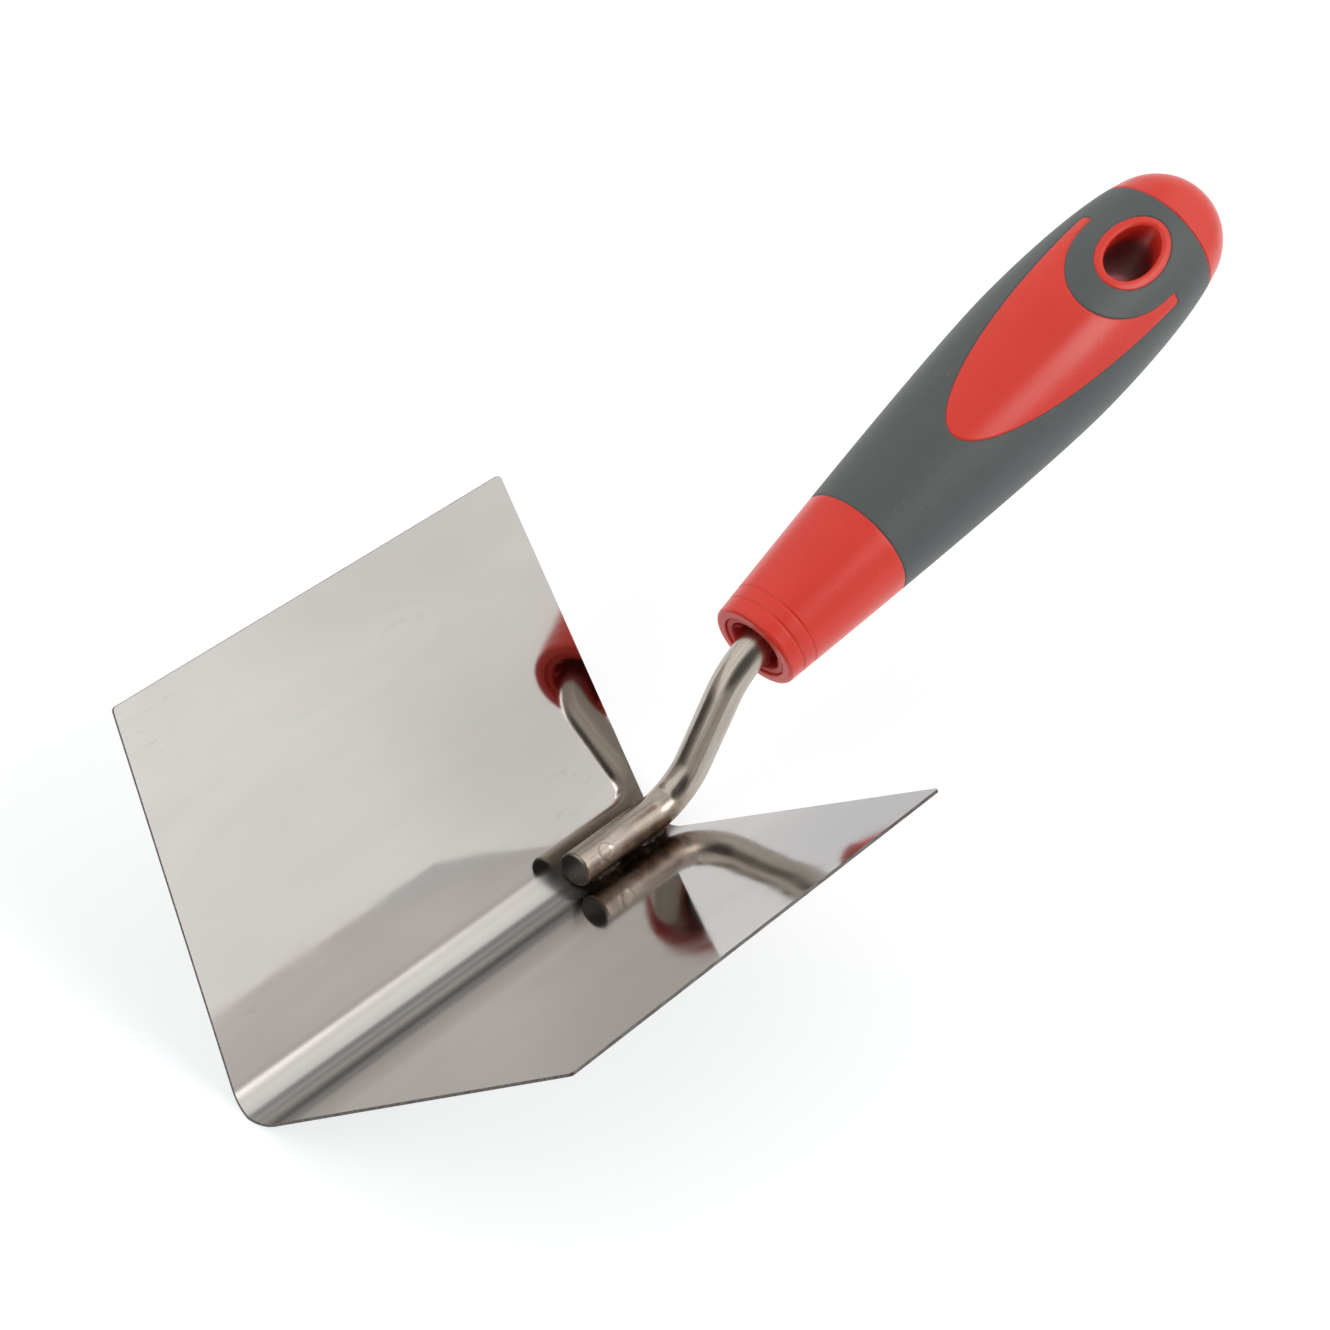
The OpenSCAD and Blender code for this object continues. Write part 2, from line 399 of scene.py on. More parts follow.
def rod_ring(station, less, shift, rod_end):
    """Points round the rod at a station, with less off its radius and moved back by shift."""
    run, x, z, slope = station
    x, z = x - shift * math.cos(slope), z + shift * math.sin(slope)
    groove = sum(BARB_DEEP * hump(run, rod_end - BARB_PITCH * k, BARB_HALF) for k in range(1, BARBS + 1))
    ring = []
    for k in range(ROD_AROUND):
        angle = math.tau * k / ROD_AROUND - math.pi
        r = ROD_R - less - groove - (rod_dent(run, angle) if less == 0 else 0)
        up = r * math.cos(angle)
        ring.append((x + up * math.sin(slope), r * math.sin(angle), z + up * math.cos(slope)))
    return ring


def rod_faces(count):
    """Faces between the rod's rings and at its two ends, whose middle points come after the rings."""
    faces = []
    for i in range(count - 1):
        faces += ring_faces(i * ROD_AROUND, (i + 1) * ROD_AROUND, ROD_AROUND)
    last = (count - 1) * ROD_AROUND
    tip_middle, end_middle = count * ROD_AROUND, count * ROD_AROUND + 1
    for k in range(ROD_AROUND):
        follow = (k + 1) % ROD_AROUND
        faces.append((follow, k, tip_middle))
        faces.append((last + k, last + follow, end_middle))
    return faces


def rod_uvs(face, runs):
    """Millimetres along and round the rod at each corner of a face, from the distance of every ring."""
    turns = [i % ROD_AROUND if i < len(runs) * ROD_AROUND else 0 for i in face]
    wrapped = max(turns) - min(turns) > ROD_AROUND / 2
    uvs = []
    for i, turn in zip(face, turns):
        if wrapped and turn < ROD_AROUND / 2:
            turn += ROD_AROUND
        uvs.append((runs[min(i // ROD_AROUND, len(runs) - 1)], ROD_R * math.tau * turn / ROD_AROUND))
    return uvs


def build_tang(material):
    """The bent rod, from its rounded tip to its barbed end inside the core."""
    stations = rod_stations()
    rings = [(stations[0], less, shift) for less, shift in TIP_RINGS]
    rings += [(station, 0.0, 0.0) for station in stations[1:]]
    rod_end, end_x, end_z, _ = stations[-1]
    points = [point for ring in rings for point in rod_ring(*ring, rod_end)]
    points += [(TIP_X - TIP_HOLLOW, 0, FOOT_Z), (end_x, 0, end_z)]
    faces = rod_faces(len(rings))
    runs = [station[0] for station, _, _ in rings]
    uvs = [rod_uvs(face, runs) for face in faces]
    add_piece("tang_rod", points, faces, "tang", material, uvs=uvs)


# ---- welds

def weld_section(side, size, swell):
    """One slice of a bead: along the rod's underside, out over the bead's face and back along the valley."""
    inner_r = BEND_R - SHEET_T
    steps = WELD_SIDE_STEPS
    low = -math.acos(WELD_LOW / ROD_R)
    top = low + math.radians(6 + 26 * size)
    rod = [(ROD_R * math.cos(a), FOOT_Z + ROD_R * math.sin(a))
           for a in (low + (top - low) * i / steps for i in range(steps + 1))]
    far = WELD_LOW + (WELD_WIDE - WELD_LOW) * (0.15 + 0.8 * size)
    floor = [(y, BEND_R - math.sqrt(inner_r ** 2 - y * y) + WELD_CLEAR)
             for y in (far + (WELD_LOW - far) * i / steps for i in range(steps + 1))]
    start, end = rod[-1], floor[0]
    face = []
    for i in range(1, WELD_FACE_STEPS):
        t = i / WELD_FACE_STEPS
        bulge = swell * math.sin(math.pi * t)
        face.append((start[0] + (end[0] - start[0]) * t + bulge * 0.75,
                     start[1] + (end[1] - start[1]) * t + bulge * 0.5))
    return [(side * y, z) for y, z in rod + face + floor]


def build_weld(name, middle, material, seed):
    """A bead on either side of the rod, thinner towards its ends and rippled by the seed."""
    points, faces = [], []
    for side in (-1, 1):
        first = len(points)
        for i in range(WELD_STEPS + 1):
            t = i / WELD_STEPS
            x = middle + WELD_LEN * (t - 0.5)
            ripple = noise.noise(Vector((t * 7, seed + 3 * side, 0)))
            size = math.sqrt(max(0.0, 1 - abs(2 * t - 1) ** 3)) * (0.8 + 0.2 * ripple)
            points += [(x, y, z) for y, z in weld_section(side, size, -0.05 + 0.12 * ripple)]
        n = (len(points) - first) // (WELD_STEPS + 1)
        bead = []
        for i in range(WELD_STEPS):
            bead += ring_faces(first + i * n, first + (i + 1) * n, n)
        bead += [tuple(range(first, first + n))[::-1], tuple(range(len(points) - n, len(points)))]
        faces += bead if side < 0 else [face[::-1] for face in bead]
    add_piece(name, points, faces, name.replace("_bead", ""), material)


# ---- handle

AXIS = Vector((-math.cos(PITCH), 0, math.sin(PITCH)))
NOSE = Vector((NECK_X, 0, NECK_Z)) + NOSE_GAP * AXIS
UP = math.cos(TURN) * Vector((math.sin(PITCH), 0, math.cos(PITCH))) + math.sin(TURN) * Vector((0, 1, 0))
SIDE = UP.cross(AXIS)


def on_handle(r, angle, back):
    """A point of the handle: angle is measured about its axis from the middle of the inlay."""
    return NOSE + back * AXIS + r * math.cos(angle) * UP + r * math.sin(angle) * SIDE


def nose_outline():
    """The rounded front of the handle's half outline, from the core's edge outward."""
    inner = [(CORE_R + out, back)
             for out, back in ((0, CORE_RECESS), (0, 0.5), (0.03, 0.25), (0.12, 0.08), (0.3, 0.0))]
    outer = [(NOSE_R - NOSE_ROUND + NOSE_ROUND * math.sin(a), NOSE_ROUND - NOSE_ROUND * math.cos(a))
             for a in (math.radians(9 * i) for i in range(11))]
    return inner + outer


def side_outline():
    """The rest of the handle's half outline: the swell to the belly, the taper and the dome of the butt."""
    length = HANDLE_LEN
    belly = (BELLY_R, BELLY_AT)
    shoulder = (SHOULDER_R, SHOULDER_AT)
    swell = bezier((NOSE_R, NOSE_ROUND), (NOSE_R + 0.1, 2.3), (BELLY_R, 0.5 * length), belly, 240)
    taper = bezier(belly, (BELLY_R, 0.684 * length), (BELLY_R, 0.835 * length), shoulder, 120)
    dome = bezier(shoulder, (0.91 * SHOULDER_R, 0.96 * length), (0.55 * SHOULDER_R, length), (0, length), 120)
    return swell + taper + dome


# The outline as (radius, distance back), and the length along it at each of its points
SIDE_OUTLINE = side_outline()
OUTLINE = nose_outline() + SIDE_OUTLINE
RUNS = [0.0]
for before, after in zip(OUTLINE, OUTLINE[1:]):
    RUNS.append(RUNS[-1] + math.dist(before, after))
RUN_END = RUNS[-1]


def outline_at(run):
    """Radius and distance back at this length along the outline, with the two fine ring grooves."""
    low, high = 0, len(RUNS) - 1
    while high - low > 1:
        middle = (low + high) // 2
        if RUNS[middle] > run:
            high = middle
        else:
            low = middle
    t = (run - RUNS[low]) / (RUNS[high] - RUNS[low])
    r = OUTLINE[low][0] + (OUTLINE[high][0] - OUTLINE[low][0]) * t
    back = OUTLINE[low][1] + (OUTLINE[high][1] - OUTLINE[low][1]) * t
    for at in GROOVES:
        near = abs(back - at) / GROOVE_HALF
        if near < 1:
            r -= GROOVE_DEEP * (1 - near * near) ** 2
    return r, back


def radius_at(back):
    """The handle's radius this far back, behind its rounded front and without the ring grooves."""
    for (r0, b0), (r1, b1) in zip(SIDE_OUTLINE, SIDE_OUTLINE[1:]):
        if b0 <= back <= b1:
            return r0 + (r1 - r0) * (back - b0) / max(b1 - b0, 1e-9)
    return 0.0


def row_step(run):
    """Distance to the skin's next row: close together in the rounded front, the grooves and the dome."""
    back = outline_at(run)[1]
    if run < FRONT_RUN:
        return ROW_STEPS["front"]
    if back < GROOVES_END:
        return ROW_STEPS["grooves"]
    if back > HANDLE_LEN - DOME_LEN:
        return ROW_STEPS["dome"]
    return ROW_STEPS["side"]


def run_rows():
    """Lengths along the outline at which the surface has a row."""
    rows = {0.0, RUN_END}
    run = 0.0
    while run < RUN_END:
        rows.add(round(run, 4))
        run += row_step(run)
    return sorted(rows)


# ---- seams of the handle

def ellipse_gap(x, y, half, squeeze):
    """Distance outside an ellipse, measured on the skin, where squeeze is the cosine of the skin's tilt."""
    f = (x / half[0]) ** 2 + (y / half[1]) ** 2 - 1
    slope = math.hypot(2 * x / half[0] ** 2, 2 * y / half[1] ** 2 * squeeze)
    return f / max(slope, 0.02)


def round_max(a, b):
    """The larger of two distances, with the corner where they meet rounded off."""
    near = max(HORN_ROUND - abs(a - b), 0) / HORN_ROUND
    return max(a, b) + near * near * HORN_ROUND / 4


def side_of(run, angle):
    """Distance back and sideways of a point of the skin, and the cosine of its tilt."""
    r, back = outline_at(run)
    return back, r * math.sin(angle), max(0.05, abs(math.cos(angle)))


def grip_field(run, angle):
    """Distance from the nearest edge of the soft grip: above 0 on the grip, below 0 on the hard shell."""
    back, side, squeeze = side_of(run, angle)
    band = min(back - GRIP_FROM, GRIP_TO - back)
    drop = ellipse_gap(back - DROP_AT, side, DROP_HALF, squeeze)
    bite = ellipse_gap(back - HOLE_AT, side, BITE_HALF, squeeze)
    inlay = round_max(round_max(drop, -bite), back - HORN_END)
    eyelet_half = (HOLE_HALF[0] + EYELET_T, HOLE_HALF[1] + EYELET_T)
    eyelet = ellipse_gap(back - HOLE_AT, side, eyelet_half, squeeze)
    return min(band, inlay, eyelet)


def hole_field(run, angle):
    """Distance outside the hang hole's edge."""
    back, side, squeeze = side_of(run, angle)
    return ellipse_gap(back - HOLE_AT, side, HOLE_HALF, squeeze)


def crossing(a, b, field, level, start):
    """The place between a and b where the field has this value. start is the field less the level at a."""
    low, high = a.co.copy(), b.co.copy()
    for _ in range(HALVINGS):
        middle = (low + high) / 2
        if (field(middle.x, middle.y) - level) * start > 0:
            low = middle
        else:
            high = middle
    return (low + high) / 2


def cut(bm, field, level):
    """Cuts the faces of a flat mesh in (run, angle) along the line where the field has this value."""
    value = {v: field(v.co.x, v.co.y) - level for v in bm.verts}
    fresh = set()
    for edge in list(bm.edges):
        a, b = sorted(edge.verts, key=lambda v: (v.co.x, v.co.y))
        if value[a] * value[b] >= 0 or min(abs(value[a]), abs(value[b])) > NEAR_SEAM:
            continue
        spot = crossing(a, b, field, level, value[a])
        share = (spot - a.co).length / (b.co - a.co).length
        _, made = bmesh.utils.edge_split(edge, a, share)
        made.co = spot
        fresh.add(made)
    for face in list(bm.faces):
        on = [v for v in face.verts if v in fresh]
        if len(on) == 2:
            bmesh.utils.face_split(face, on[0], on[1])


def surface_net():
    """The handle's skin as a flat mesh in (run, angle), cut along every seam and the rim of the hole."""
    bm = bmesh.new()
    angles = [-math.pi + math.tau * k / SKIN_AROUND for k in range(SKIN_AROUND + 1)]
    grid = [[bm.verts.new((run, angle, 0)) for angle in angles] for run in run_rows()]
    for row, follow in zip(grid, grid[1:]):
        for k in range(SKIN_AROUND):
            bm.faces.new((row[k], follow[k], follow[k + 1], row[k + 1]))
    for level in SEAM_LEVELS:
        cut(bm, grip_field, level)
    cut(bm, hole_field, RIM_ROUND)
    return bm


def split_skin(bm):
    """The faces of the grip and of the shell, as lists of (run, angle) corners. The hole has none."""
    grip, shell = [], []
    for face in bm.faces:
        corners = [(v.co.x, v.co.y) for v in face.verts]
        run = sum(c[0] for c in corners) / len(corners)
        angle = sum(c[1] for c in corners) / len(corners)
        if hole_field(run, angle) < RIM_ROUND:
            continue
        if grip_field(run, angle) > 0:
            grip.append(corners)
        else:
            shell.append(corners)
    return grip, shell


def skin_point(run, angle):
    """The handle's skin with the fine seam sunk between its two materials."""
    r, back = outline_at(run)
    near = abs(grip_field(run, angle)) / SEAM_HALF
    if near < 1:
        r -= SEAM_DEEP * (1 - near) ** 2
    return on_handle(r, angle, back)


def skin_normal(run, angle):
    """The skin's normal, from points a short step to either side."""
    step = 0.05
    turn = step / max(outline_at(run)[0], 0.4)
    low, high = max(0.0, run - step), min(RUN_END, run + step)
    back = skin_point(high, angle) - skin_point(low, angle)
    round_about = skin_point(run, angle + turn) - skin_point(run, angle - turn)
    normal = back.cross(round_about)
    return normal.normalized() if normal.length > 1e-9 else AXIS.copy()


def sunk_point(run, angle):
    """The face between the soft grip and the shell under it."""
    r, back = outline_at(run)
    return on_handle(max(r - GRIP_T, 0), angle, back)


# ---- grip and shell

class Builder:
    """Collects shared points and faces with one normal per face corner."""

    def __init__(self):
        self.points, self.faces, self.normals, self.index = [], [], [], {}

    def point(self, key, place):
        if key not in self.index:
            self.index[key] = len(self.points)
            self.points.append(place)
        return self.index[key]

    def face(self, corners, normals=None):
        """Adds a face, without its repeated corners. With no normals given it is flat."""
        kept = [k for k in range(len(corners)) if corners[k] != corners[k - 1]]
        if len(kept) < 3:
            return
        corners = tuple(corners[k] for k in kept)
        if normals:
            normals = [normals[k] for k in kept]
        else:
            normals = [self.flat_normal(corners)] * len(corners)
        self.faces.append(corners)
        self.normals.append(normals)

    def flat_normal(self, corners):
        spots = [Vector(self.points[c]) for c in corners]
        middle = sum(spots, Vector()) / len(spots)
        pairs = zip(spots, spots[1:] + spots[:1])
        return sum(((a - middle).cross(b - middle) for a, b in pairs), Vector()).normalized()


def net_key(layer, run, angle):
    """Key of a corner of the net, the same where the net closes round the handle and at its rear end."""
    if outline_at(run)[0] < 1e-3:
        return layer, "pole"
    turn = round(math.degrees(angle) % 360, 3) % 360
    return layer, round(run, 4), turn


def seam_edges(faces):
    """Directed edges of these faces that no other of them shares."""
    seen = {}
    for corners in faces:
        keys = [net_key("skin", *c) for c in corners]
        for k in range(len(corners)):
            follow = (k + 1) % len(keys)
            seen.setdefault((keys[k], keys[follow]), (corners[k], corners[follow]))
    return [ends for pair, ends in seen.items() if pair[::-1] not in seen and pair[0] != pair[1]]


def add_skin(build, faces):
    """Adds faces of the outer skin, with its smooth normals."""
    for corners in faces:
        ids = [build.point(net_key("skin", *c), skin_point(*c)) for c in corners]
        build.face(ids, [skin_normal(*c) for c in corners])


def add_sunk(build, faces, outward):
    """Adds the same faces below the grip, turned outward for the shell and inward for the grip."""
    for corners in faces:
        ids = [build.point(net_key("sunk", *c), sunk_point(*c)) for c in corners]
        build.face(ids if outward else ids[::-1])


def hole_turn(corner, turns):
    """Angle round the hang hole, the same value for both halves, which differ only by rounding."""
    back, side, _ = side_of(*corner)
    turn = math.atan2(side / HOLE_HALF[1], (back - HOLE_AT) / HOLE_HALF[0])
    for other in turns:
        if abs(math.remainder(turn - other, math.tau)) < SAME_TURN:
            return other
    turns.append(turn)
    return turn


def hole_strip(build, corner, turn):
    """Points and normals from a corner of the skin over the rim and down the wall to the middle."""
    run, angle = corner
    above = 1 if math.cos(angle) > 0 else -1
    start = skin_point(run, angle)
    back = HOLE_AT + HOLE_HALF[0] * math.cos(turn)
    side = HOLE_HALF[1] * math.sin(turn)
    high = math.sqrt(max(radius_at(back) ** 2 - side ** 2, 1))
    edge = NOSE + back * AXIS + side * SIDE + above * high * UP
    sunk = edge - above * RIM_ROUND * UP
    normal = skin_normal(run, angle)
    inward = -(math.cos(turn) / HOLE_HALF[0] * AXIS + math.sin(turn) / HOLE_HALF[1] * SIDE).normalized()
    strip = [(build.point(net_key("skin", run, angle), start), normal.normalized())]
    for i in range(1, RIM_RINGS + 1):
        t = math.pi / 2 * i / RIM_RINGS
        place = edge + (start - edge) * (1 - math.sin(t)) + (sunk - edge) * (1 - math.cos(t))
        lean = (normal * math.cos(t) + inward * math.sin(t)).normalized()
        strip.append((build.point(("wall", above, turn, i), place), lean))
    for i in range(RIM_RINGS + 1, HOLE_RINGS + 1):
        t = (i - RIM_RINGS) / (HOLE_RINGS - RIM_RINGS)
        draft = 1 - HOLE_DRAFT * t
        foot = NOSE + (HOLE_AT + (back - HOLE_AT) * draft) * AXIS + side * draft * SIDE
        place = foot + above * (high - RIM_ROUND) * (1 - t) * UP
        half = above if i < HOLE_RINGS else 0
        strip.append((build.point(("wall", half, turn, i), place), inward))
    return strip


def hole_wall(build, edge_list):
    """The rounded rim and the wall of the hang hole, down to its middle from each side."""
    turns = []
    for pair in edge_list:
        strips = [hole_strip(build, corner, hole_turn(corner, turns)) for corner in pair]
        for i in range(HOLE_RINGS):
            (p0, n0), (p1, n1) = strips[1][i], strips[0][i]
            (p2, n2), (p3, n3) = strips[0][i + 1], strips[1][i + 1]
            build.face((p0, p1, p2, p3), [n0, n1, n2, n3])


def add_cavity(build, front_keys):
    """The shell's inner wall round the core, from its front edge to a flat end."""
    backs = [CORE_RECESS, 8, 16, CORE_WAIST, CORE_WAIST + 0.01]
    backs += [CORE_WAIST + CAVITY_STEP * i for i in range(1, 12)]
    backs = [b for b in backs if b < CORE_END] + [CORE_END]
    angles = sorted(front_keys)
    rings = [[build.index[key] for _, key in angles]]
    for i, back in enumerate(backs[1:], 1):
        r = CORE_R if back < CORE_WAIST else radius_at(back) - GRIP_T - SHELL_T
        rings.append([build.point(("cavity", i, round(angle, 5)), on_handle(r, angle, back))
                      for angle, _ in angles])
    n = len(angles)
    for first, second in zip(rings, rings[1:]):
        for k in range(n):
            build.face((first[k], first[(k + 1) % n], second[(k + 1) % n], second[k]))
    end = build.point("cavity_end", on_handle(0, 0, CORE_END))
    for k in range(n):
        build.face((rings[-1][k], rings[-1][(k + 1) % n], end))


def add_step(build, faces, outward):
    """The step all round the grip, from the skin down to the face under it."""
    for a, b in seam_edges(faces):
        first, second = (a, b) if outward else (b, a)
        top = [build.index[net_key("skin", *c)] for c in (first, second)]
        low = [build.index[net_key("sunk", *c)] for c in (second, first)]
        build.face(top + low)


def build_grip(grip_faces, material):
    """The soft grip as a closed layer."""
    grip = Builder()
    add_skin(grip, grip_faces)
    add_sunk(grip, grip_faces, outward=False)
    add_step(grip, grip_faces, outward=False)
    add_piece("soft_grip_skin", grip.points, grip.faces, "soft_grip", material, grip.normals)


def build_shell(grip_faces, shell_faces, material):
    """The hard shell: its bare skin, the bed of the grip, the hang hole and the cavity for the core."""
    shell = Builder()
    add_skin(shell, shell_faces)
    add_sunk(shell, grip_faces, outward=True)
    add_step(shell, grip_faces, outward=True)
    rim = [pair for pair in seam_edges(shell_faces + grip_faces) if pair[0][0] > 1 and pair[1][0] > 1]
    hole_wall(shell, rim)
    front = {(round(c[1] % math.tau, 6) % round(math.tau, 6), net_key("skin", *c))
             for corners in shell_faces for c in corners if c[0] == 0.0}
    add_cavity(shell, front)
    add_piece("handle_shell_body", shell.points, shell.faces, "handle_shell",
              material, shell.normals)


def build_grip_and_shell(grip_material, shell_material):
    net = surface_net()
    grip_faces, shell_faces = split_skin(net)
    net.free()
    build_grip(grip_faces, grip_material)
    build_shell(grip_faces, shell_faces, shell_material)


# ---- core

def core_outline():
    """The core's half outline as (radius, distance back), from its rear end over its outside to its bore."""
    rear = CORE_END - CORE_GAP
    wall = SHELL_T + 2 * CORE_GAP
    outer = [(0.0, rear), (radius_at(CORE_END) - GRIP_T - wall, rear)]
    outer += [(radius_at(b) - GRIP_T - wall, b) for b in (84, 76, 68, 60, 52, 44, 36, 30, 25)]
    round_off = CORE_RECESS + CORE_CHAMFER
    rim = [(CORE_R - CORE_GAP, CORE_WAIST), (CORE_R - CORE_GAP, round_off), (CORE_FACE_R, CORE_RECESS)]
    mouth = [(MOUTH_R + CORE_CHAMFER, CORE_RECESS), (MOUTH_R, round_off)]
    mouth += [(MOUTH_R, back) for back in (1.5, 1.7, 1.9, 2.2, 5.0, MOUTH_DEEP - 0.2)]
    bore_r = ROD_R + BORE_GAP
    floor = [(MOUTH_R - 0.3, MOUTH_DEEP), (ROD_R + 0.4, MOUTH_DEEP), (bore_r, MOUTH_DEEP + 0.4),
             (bore_r, BORE_END), (0.0, BORE_END)]
    return outer + rim + mouth + floor


def rib_at(angle):
    """How far a rib of the mouth stands in at this angle."""
    off = (angle * RIBS / math.tau + 0.5) % 1 - 0.5
    arc = abs(off) * math.tau / RIBS * MOUTH_R
    return RIB_HIGH * (1 - smooth_step(0.28, 0.62, arc))


def build_core(material):
    """The core: its recessed front face, the ribbed mouth and the bore for the rod."""
    around = CORE_AROUND
    outline = core_outline()
    points, faces, starts = [], [], []
    for r, back in outline:
        starts.append(len(points))
        if r == 0.0:
            points.append(tuple(on_handle(0, 0, back)))
            continue
        ribbed = smooth_step(1.5, 2.1, back) if abs(r - MOUTH_R) < 0.01 else 0.0
        for k in range(around):
            angle = math.tau * k / around
            points.append(tuple(on_handle(r - rib_at(angle) * ribbed, angle, back)))
    for i, (first, second) in enumerate(zip(starts, starts[1:])):
        if outline[i][0] == 0.0:
            faces += [(first, second + (k + 1) % around, second + k) for k in range(around)]
        elif outline[i + 1][0] == 0.0:
            faces += [(first + k, first + (k + 1) % around, second) for k in range(around)]
        else:
            faces += ring_faces(first, second, around)
    add_piece("handle_core_body", points, faces, "handle_core", material)


# ---- materials

def toward(azimuth, elevation):
    """Unit direction from its azimuth, measured from +X to +Y, and its elevation, in degrees."""
    a, e = math.radians(azimuth), math.radians(elevation)
    return math.cos(e) * math.cos(a), math.cos(e) * math.sin(a), math.sin(e)


def colour(r, g, b):
    """An opaque colour."""
    return (r, g, b, 1.0)


class Nodes:
    """A short way to write the nodes of a material or a world."""

    def __init__(self, owner, place="Object"):
        owner.use_nodes = True
        self.owner = owner
        self.tree = owner.node_tree
        self.shader = self.tree.nodes.get("Principled BSDF") or self.tree.nodes["Background"]
        self.place = self.add("ShaderNodeTexCoord").outputs[place]

    def add(self, kind, **settings):
        node = self.tree.nodes.new(kind)
        for key, value in settings.items():
            setattr(node, key, value)
        return node

    def link(self, source, target):
        self.tree.links.new(source, target)

    def fill(self, socket, value):
        if isinstance(value, bpy.types.NodeSocket):
            self.link(value, socket)
        else:
            socket.default_value = value

    def shade(self, name, value):
        """Sets an input of the shader itself."""
        self.fill(self.shader.inputs[name], value)

    def math(self, operation, a, b=0.0):
        node = self.add("ShaderNodeMath", operation=operation)
        self.fill(node.inputs[0], a)
        self.fill(node.inputs[1], b)
        return node.outputs[0]

    def times(self, a, b):
        return self.math("MULTIPLY", a, b)

    def raised(self, base, mask, amount):
        """base, with this amount added where mask is 1."""
        return self.math("ADD", base, self.times(mask, amount))

    def ramp(self, value, low, high, start=0.0, end=1.0):
        """start where value is under low, end where it is over high, smooth between."""
        node = self.add("ShaderNodeMapRange", interpolation_type="SMOOTHSTEP")
        for socket, number in zip(node.inputs, (value, low, high, start, end)):
            self.fill(socket, number)
        return node.outputs[0]

    def within(self, value, inner, outer):
        """1 where value is under inner, fading to 0 at outer, in millimetres."""
        return self.ramp(value, inner * MM, outer * MM, 1.0, 0.0)

    def band(self, value, rise, full, fall, end):
        """1 between full and fall, fading to 0 at rise and end, in millimetres."""
        return self.times(self.ramp(value, rise * MM, full * MM), self.within(value, fall, end))

    def mix(self, share, a, b):
        node = self.add("ShaderNodeMix", data_type="RGBA")
        self.fill(node.inputs[0], share)
        self.fill(node.inputs[6], a)
        self.fill(node.inputs[7], b)
        return node.outputs[2]

    def tinted(self, base, mask, most, tint):
        """base, turned by up to this much into the tint where mask is 1."""
        return self.mix(self.times(mask, most), base, tint)

    def moved(self, scale, turn=(0, 0, 0), source=None):
        node = self.add("ShaderNodeMapping")
        self.link(source or self.place, node.inputs["Vector"])
        node.inputs["Rotation"].default_value = turn
        node.inputs["Scale"].default_value = scale
        return node.outputs[0]

    def noise(self, scale, detail, rough=0.5, source=None, warp=0.0):
        node = self.add("ShaderNodeTexNoise")
        self.link(source or self.place, node.inputs["Vector"])
        node.inputs["Scale"].default_value = scale
        node.inputs["Detail"].default_value = detail
        node.inputs["Roughness"].default_value = rough
        node.inputs["Distortion"].default_value = warp
        return node.outputs["Fac"]

    def spot(self, at, inner, outer):
        """1 within inner of a point, fading to 0 at outer, in millimetres."""
        node = self.add("ShaderNodeVectorMath", operation="DISTANCE")
        self.link(self.place, node.inputs[0])
        node.inputs[1].default_value = Vector(at) * MM
        return self.within(node.outputs["Value"], inner, outer)

    def glow(self, direction, inner, outer):
        """1 within inner degrees of a direction, fading to 0 at outer degrees."""
        node = self.add("ShaderNodeVectorMath", operation="DOT_PRODUCT")
        self.link(self.place, node.inputs[0])
        node.inputs[1].default_value = direction
        return self.ramp(node.outputs["Value"], math.cos(math.radians(outer)), math.cos(math.radians(inner)))

    def bump(self, height, strength, distance):
        """Adds a bump of this height in millimetres over any that the shader has."""
        node = self.add("ShaderNodeBump")
        self.link(height, node.inputs["Height"])
        node.inputs["Strength"].default_value = strength
        node.inputs["Distance"].default_value = distance * MM
        under = self.shader.inputs["Normal"]
        if under.is_linked:
            self.link(under.links[0].from_socket, node.inputs["Normal"])
        self.link(node.outputs[0], under)

    def axes(self):
        """The x, y and z of the place."""
        node = self.add("ShaderNodeSeparateXYZ")
        self.link(self.place, node.inputs[0])
        return node.outputs


# Where the polished wings are scuffed, as (point, inner reach, outer reach)
SCUFFED = (((37.0, -50.0, 47.5), 2.0, 11.0), ((43.7, -13.4, 11.3), 1.0, 6.0), ((-38.8, -10.5, 8.4), 2.0, 9.0),
           ((-21.4, -43.5, 41.1), 0.5, 7.0), ((15.0, 31.5, 29.0), 1.0, 12.0))

# Two places of the wings darkened as painted shade, likewise: beside the rod and at the left rear tip
PAINTED_SHADE_BY_ROD = ((-32, -22, 20), 6, 34)
PAINTED_SHADE_REAR_TIP = ((-60, 50, 50), 14, 48)

# Strips inside the bend darkened as painted shade, from right to left: the crease at the ridge and a strip
# right of it
CREASE = (-0.6, 0.2, 0.5, 1.6)
PAINTED_SHADE_STRIP = (-5.8, -4.4, -4.2, -1.2)


def scuffs(n):
    """Fine short marks where the wings are scuffed."""
    fine = n.noise(1, 4, 0.7, n.moved((160, 700, 700), (0.4, 0.3, 0.6)))
    worn = 0.0
    for place in SCUFFED:
        worn = n.math("MAXIMUM", worn, n.spot(*place))
    return n.times(n.ramp(fine, 0.56, 0.68), worn)


